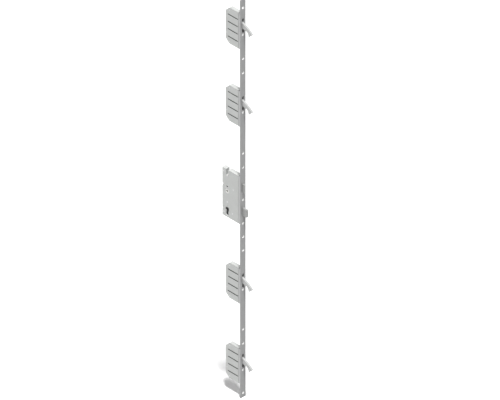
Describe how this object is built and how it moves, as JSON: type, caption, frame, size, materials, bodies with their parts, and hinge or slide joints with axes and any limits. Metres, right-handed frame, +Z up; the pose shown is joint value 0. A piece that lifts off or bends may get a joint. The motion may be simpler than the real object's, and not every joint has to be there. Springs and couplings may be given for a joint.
{
  "type": "multipoint door lock",
  "caption": "Long faceplate mortise lock: central case with latch, deadbolt, spindle and profile cylinder holes, and swing hook cases along its length.",
  "frame": {"origin": "centre of the square spindle hole of the central case, on the mid plane of the cases", "axes": "+X out through the front of the faceplate, +Y across the door along the spindle, +Z up along the faceplate"},
  "size_m": [0.1321, 0.024, 1.59],
  "materials": {
    "faceplate_steel": "satin zinc plated strip",
    "case_steel": "zinc plated pressed sheet",
    "bolt_steel": "bright nickel plated",
    "rod_steel": "zinc plated strip",
    "pin_steel": "plain turned steel",
    "cast_zinc": "pressure cast zinc alloy",
    "spring_steel": "bare spring wire",
    "gear_brass": "sintered brass"
  },
  "bodies": {
    "lock": {"faceplate": "faceplate_steel", "main_tray": "case_steel", "main_cover": "case_steel", "main_posts": "pin_steel", "spring_bracket": "rod_steel", "latch_spring": "spring_steel", "hook_tray_1": "case_steel", "hook_tray_2": "case_steel", "hook_tray_3": "case_steel", "hook_tray_4": "case_steel", "hook_cover_1": "case_steel", "hook_cover_2": "case_steel", "hook_cover_3": "case_steel", "hook_cover_4": "case_steel", "hook_pivots": "pin_steel", "hook_posts": "pin_steel", "fixing_blocks": "cast_zinc", "fixing_screws": "pin_steel"},
    "drive": {"main_slide": "rod_steel", "rod_1": "rod_steel", "rod_2": "rod_steel", "rod_3": "rod_steel", "rod_4": "rod_steel", "rod_rivets": "pin_steel", "slider_1": "rod_steel", "slider_2": "rod_steel", "slider_3": "rod_steel", "slider_4": "rod_steel"},
    "follower_hub": {"follower": "cast_zinc"},
    "carriage": {"retractor": "rod_steel"},
    "latch": {"latch_bolt": "bolt_steel"},
    "bolt": {"deadbolt": "bolt_steel"},
    "wheel": {"drive_wheel": "gear_brass"},
    "swing_hook_1": {"hook_1": "bolt_steel"},
    "swing_hook_2": {"hook_2": "bolt_steel"},
    "swing_hook_3": {"hook_3": "bolt_steel"},
    "swing_hook_4": {"hook_4": "bolt_steel"}
  },
  "joints": [
    {"name": "rod_slide", "type": "slide", "parent": "lock", "child": "drive", "axis": [0, 0, -1], "range_m": [0, 0.02]},
    {"name": "deadbolt_slide", "type": "slide", "parent": "lock", "child": "bolt", "axis": [-1, 0, 0], "range_m": [0, 0.02]},
    {"name": "wheel_turn", "type": "hinge", "parent": "lock", "child": "wheel", "pos_m": [0, 0, -0.043], "axis": [0, 1, 0], "range_deg": [0, 67.5]},
    {"name": "follower_turn", "type": "hinge", "parent": "lock", "child": "follower_hub", "pos_m": [0, 0, 0], "axis": [0, -1, 0], "range_deg": [0, 25]},
    {"name": "carriage_slide", "type": "slide", "parent": "lock", "child": "carriage", "axis": [-1, 0, 0], "range_m": [0, 0.011], "stiffness_N_per_m": 600, "springref_m": -0.008},
    {"name": "latch_press", "type": "slide", "parent": "carriage", "child": "latch", "axis": [-1, 0, 0], "range_m": [0, 0.011], "stiffness_N_per_m": 250, "springref_m": -0.012, "deforming": ["latch_spring"]},
    {"name": "hook_swing_1", "type": "hinge", "parent": "lock", "child": "swing_hook_1", "pos_m": [0.048, 0, 0.648], "axis": [0, -1, 0], "range_deg": [0, 90]},
    {"name": "hook_swing_2", "type": "hinge", "parent": "lock", "child": "swing_hook_2", "pos_m": [0.048, 0, 0.341], "axis": [0, -1, 0], "range_deg": [0, 90]},
    {"name": "hook_swing_3", "type": "hinge", "parent": "lock", "child": "swing_hook_3", "pos_m": [0.048, 0, -0.368], "axis": [0, -1, 0], "range_deg": [0, 90]},
    {"name": "hook_swing_4", "type": "hinge", "parent": "lock", "child": "swing_hook_4", "pos_m": [0.048, 0, -0.692], "axis": [0, -1, 0], "range_deg": [0, 90]}
  ],
  "couplings": [
    {"joint": "deadbolt_slide", "follows": "rod_slide", "ratio": 1},
    {"joint": "wheel_turn", "follows": "rod_slide", "rad_per_m": 58.824},
    {"joint": "follower_turn", "follows": "carriage_slide", "rad_per_m": 39.6},
    {"joint": "hook_swing_1", "follows": "rod_slide", "rad_per_m": 78.54},
    {"joint": "hook_swing_2", "follows": "rod_slide", "rad_per_m": 78.54},
    {"joint": "hook_swing_3", "follows": "rod_slide", "rad_per_m": 78.54},
    {"joint": "hook_swing_4", "follows": "rod_slide", "rad_per_m": 78.54}
  ]
}
